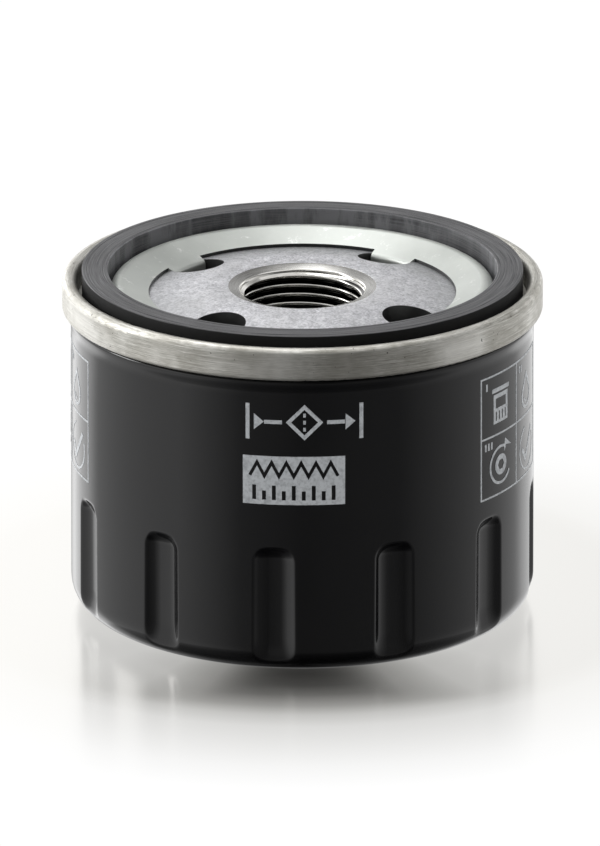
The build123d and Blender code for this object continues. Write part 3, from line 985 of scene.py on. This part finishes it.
# ---- studio -------------------------------------------------------------------------------------
def floor():
    """White glowing floor with a soft shine that dies away from the filter, deepest in front of its
    foot, where the shine also stands in as painted shadow round the foot.
    """
    made, tree, shader = material("studio_floor")
    tree.nodes.remove(shader)
    place = object_place(tree)
    away = node(tree, "VectorMath", {0: place}, operation="LENGTH").outputs["Value"]
    near, reach = 30, 70                # the shine falls off over this many millimetres
    far = rise(tree, away, near * MM, (near + reach) * MM)
    falloff = [
        (36, 0.98),
        (41, 0.955),
        (45, 0.88),
        (50, 0.70),
        (54, 0.47),
        (59, 0.31),
        (67, 0.21),
        (76, 0.095),
        (85, 0.02),
        (90, 0.0),
    ]
    shine = ramp(tree, far, *[((mm - near) / reach, share) for mm, share in falloff])
    # Painted shadow: the shine's share, which takes the place of the pale glow, grows in front of the
    # foot and is darkest straight ahead.
    side = node(tree, "SeparateXYZ", {0: place}).outputs[1]
    ahead = calc(tree, "MULTIPLY", calc(tree, "DIVIDE", side, away), -1.0)
    front_shadow_limit = ramp(tree, ahead, (0.0, 0.44), (0.70, 0.45), (0.85, 0.55), (0.94, 0.76), (1.0, 1.05))
    share = node(tree, "Math", {0: shine, 1: front_shadow_limit, 2: 0.22}, operation="SMOOTH_MIN").outputs[0]
    tone = mixed(tree, share, (1.0, 1.0, 1.0), (1.0, 0.985, 0.93))
    pale = node(tree, "Emission", {"Color": tone, "Strength": 1.02}).outputs[0]
    gloss = node(tree, "BsdfGlossy", {"Color": (1.0, 0.985, 0.955, 1), "Roughness": 0.19}).outputs[0]
    blend = node(tree, "MixShader", {0: share, 1: pale, 2: gloss}).outputs[0]
    tree.links.new(blend, tree.nodes["Material Output"].inputs["Surface"])
    half = 4000
    corners = [(-half, -half, 0), (half, -half, 0), (half, half, 0), (-half, half, 0)]
    ground = mesh_object("studio_floor", corners, [(0, 1, 2, 3)])
    ground.data.materials.append(made)
    ground.visible_glossy = False


def reflection_wall():
    """Round studio wall that the camera doesn't see: bright at the sides and back, dark in front.

    Its left is brighter than its right, it dims towards its top, and above the floor it has a dimmer
    band just right of the middle. The disc that closes it below is dark in its middle.
    """
    made, tree, shader = material("studio_wall")
    tree.nodes.remove(shader)
    place = object_place(tree)
    axes = node(tree, "SeparateXYZ", {0: place}).outputs
    side = calc(tree, "ARCTAN2", axes[0], calc(tree, "MULTIPLY", axes[1], -1.0))
    turn = calc(tree, "ADD", calc(tree, "DIVIDE", side, 2 * math.pi), 0.5)
    stops = [
        (-180, 0.75),
        (-168, 0.80),
        (-156, 1.9),
        (-132, 1.7),
        (-127, 1.3),
        (-121, 0.93),
        (-62, 0.93),
        (-30, 0.27),
        (0, 0.13),
        (48, 0.20),
        (95, 0.70),
        (130, 0.88),
        (140, 1.35),
        (168, 1.3),
        (180, 0.75),
    ]
    light = ramp(tree, turn, *[((a + 180) / 360, v / 2) for a, v in stops])
    flat = node(tree, "CombineXYZ", {0: axes[0], 1: axes[1]}).outputs[0]
    reach = node(tree, "VectorMath", {0: flat}, operation="LENGTH").outputs["Value"]
    level = ramp(tree, reach, (0.0, 0.02), (0.3, 0.07), (0.6, 0.22), (0.9, 0.6), (0.99, 1.0))
    high = rise(tree, axes[2], 0.40, 0.60)
    shade = calc(tree, "MULTIPLY", level, calc(tree, "SUBTRACT", 2.0, high))
    top = rise(tree, axes[2], 0.60, 0.85)
    shade = calc(tree, "MULTIPLY", shade, calc(tree, "SUBTRACT", 1.0, calc(tree, "MULTIPLY", top, 0.4)))
    across = calc(tree, "ADD", calc(tree, "MULTIPLY", axes[0], 0.5), 0.5)
    tilt = ramp(tree, across, (0.25, 0.95), (0.475, 0.85), (0.56, 0.40), (0.625, 0.40), (0.725, 0.75))
    above = rise(tree, axes[2], 0.0, 0.08)
    tilt = calc(tree, "SUBTRACT", calc(tree, "MULTIPLY", tilt, 1.5), 1.0)
    shade = calc(tree, "MULTIPLY", shade, calc(tree, "ADD", 1.0, calc(tree, "MULTIPLY", above, tilt)))
    behind = rise(tree, calc(tree, "DIVIDE", axes[1], reach), 0.975, 0.998)
    low = rise(tree, axes[2], -0.20, -0.32)
    hidden = calc(tree, "MULTIPLY", calc(tree, "MULTIPLY", behind, low), 0.6)
    shade = calc(tree, "MULTIPLY", shade, calc(tree, "SUBTRACT", 1.0, hidden))
    glow = node(tree, "Emission", {"Color": light, "Strength": shade}).outputs[0]
    tree.links.new(glow, tree.nodes["Material Output"].inputs["Surface"])
    path = np.array([(1.0, -700.0), (1000.0, -700.0), (1000.0, 1150.0)])
    wall = lathe("studio_wall", path, even_angles(96))
    wall.data.materials.append(made)
    wall.visible_camera = False
    wall.visible_shadow = False
    wall.visible_transmission = False


def soft_light(name, place, size, power):
    """A rectangular soft light that points at the filter's middle."""
    lamp = bpy.data.lights.new(name, "AREA")
    lamp.shape = "RECTANGLE"
    lamp.size, lamp.size_y = size
    lamp.energy = power
    made = bpy.data.objects.new(name, lamp)
    made.location = place
    made.rotation_mode = "QUATERNION"
    made.rotation_quaternion = (Vector((0, 0, 0.03)) - Vector(place)).to_track_quat("-Z", "Y")
    made.visible_camera = False
    bpy.context.scene.collection.objects.link(made)


def studio():
    """White surroundings, the floor, the wall and two soft lights."""
    world = bpy.data.worlds.new("studio")
    world.use_nodes = True
    background = world.node_tree.nodes["Background"]
    background.inputs["Color"].default_value = (1, 1, 1, 1)
    background.inputs["Strength"].default_value = 1.0
    bpy.context.scene.world = world
    bpy.context.scene.view_settings.view_transform = "Standard"
    floor()
    reflection_wall()
    soft_light("top_softbox", (-0.25, 0.35, 0.95), (0.7, 0.5), 2.5)
    soft_light("left_softbox", (-0.8, 0.1, 0.45), (0.25, 0.6), 3)


def camera():
    """Long lens, a little above the filter, looking along +Y."""
    elevation = math.radians(18.9)
    distance = 1.5
    view_height = 134.3 * MM            # what the tall side of the picture takes in
    target = Vector((-0.38 * MM, 0, 29.2 * MM))
    back = Vector((0, -math.cos(elevation), math.sin(elevation)))
    lens = bpy.data.cameras.new("camera")
    lens.sensor_width = 36
    lens.lens = lens.sensor_width * distance / view_height
    lens.clip_start, lens.clip_end = 0.05, 20
    made = bpy.data.objects.new("camera", lens)
    made.location = target + back * distance
    made.rotation_mode = "QUATERNION"
    made.rotation_quaternion = (-back).to_track_quat("-Z", "Y")
    bpy.context.scene.collection.objects.link(made)
    bpy.context.scene.camera = made


# ---- the filter -----------------------------------------------------------------------------------
camera()
studio()
can_shell()
sealing_ring()
threaded_base()
paint_node("seaming_lid", lid_finish())
valve_rubber = moulded_rubber("valve_rubber", (0.016, 0.0145, 0.0135))
cap_steel = plain_steel("cap_steel", (0.60, 0.60, 0.57), 0.3)
spring_steel = plain_steel("spring_steel", (0.33, 0.33, 0.34), 0.28)
adhesive = cast_resin("adhesive", (0.62, 0.56, 0.46))
ink = screen_ink()
print_mark("print_symbol", filter_symbol(), -89.5, ink)
print_mark("print_block", pleat_block(), -92.1, ink)
print_mark("print_panel_right", grid_panel(), -23.8, ink)
print_mark("print_panel_left", grid_panel(), -173.2, ink)
valve_membrane(valve_rubber)
valve_spring(spring_steel)
for name in ("antidrain_lip", "bypass_seat"):
    paint_node(name, valve_rubber)
for name in (
    "upper_end_cap",
    "lower_end_cap",
    "pleat_seam_clip",
    "centre_tube",
    "bypass_disc",
    "bypass_cage",
):
    paint_node(name, cap_steel)
for name in ("bypass_stem", "support_spring"):
    paint_node(name, spring_steel)
for name in ("upper_adhesive", "lower_adhesive"):
    paint_node(name, adhesive)
paint_node("pleated_media", filter_paper())
paint_node("seam_compound", cast_resin("seam_compound", (0.28, 0.30, 0.27)))
